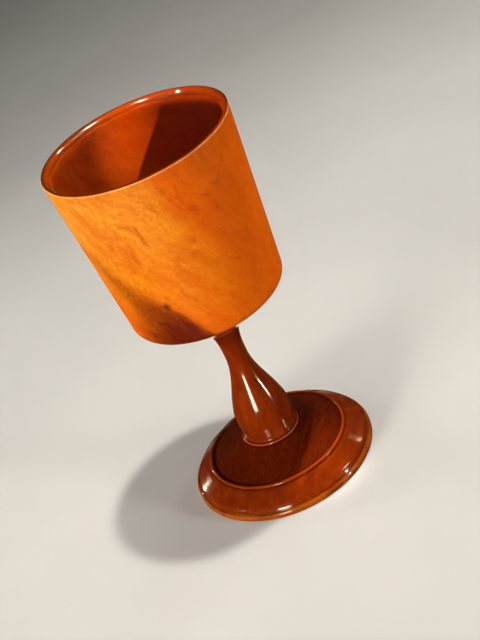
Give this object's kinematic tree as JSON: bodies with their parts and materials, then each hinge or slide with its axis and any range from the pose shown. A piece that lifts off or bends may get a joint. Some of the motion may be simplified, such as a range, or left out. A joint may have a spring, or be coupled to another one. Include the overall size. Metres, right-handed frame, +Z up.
{
  "type": "communion chalice",
  "caption": "Turned wooden chalice: a deep flared cup on a slender baluster stem and a round moulded foot, for serving wine at communion.",
  "frame": {"origin": "centre of the circle the foot stands on", "axes": "+Z up along the turning axis to the lip; the chalice is round, so +X and +Y are any two level directions at right angles"},
  "size_m": [0.089, 0.089, 0.18],
  "materials": {
    "bowl_wood": "satin lacquered light burr-figured wood, inside of the cup glossy",
    "stem_wood": "glossy lacquered red-brown wood, grain along the stem",
    "foot_wood": "glossy lacquered red-brown wood, grain across the foot, paler towards the plinth rim"
  },
  "bodies": {
    "root": {"bowl": "bowl_wood", "stem": "stem_wood", "foot": "foot_wood"}
  },
  "joints": []
}
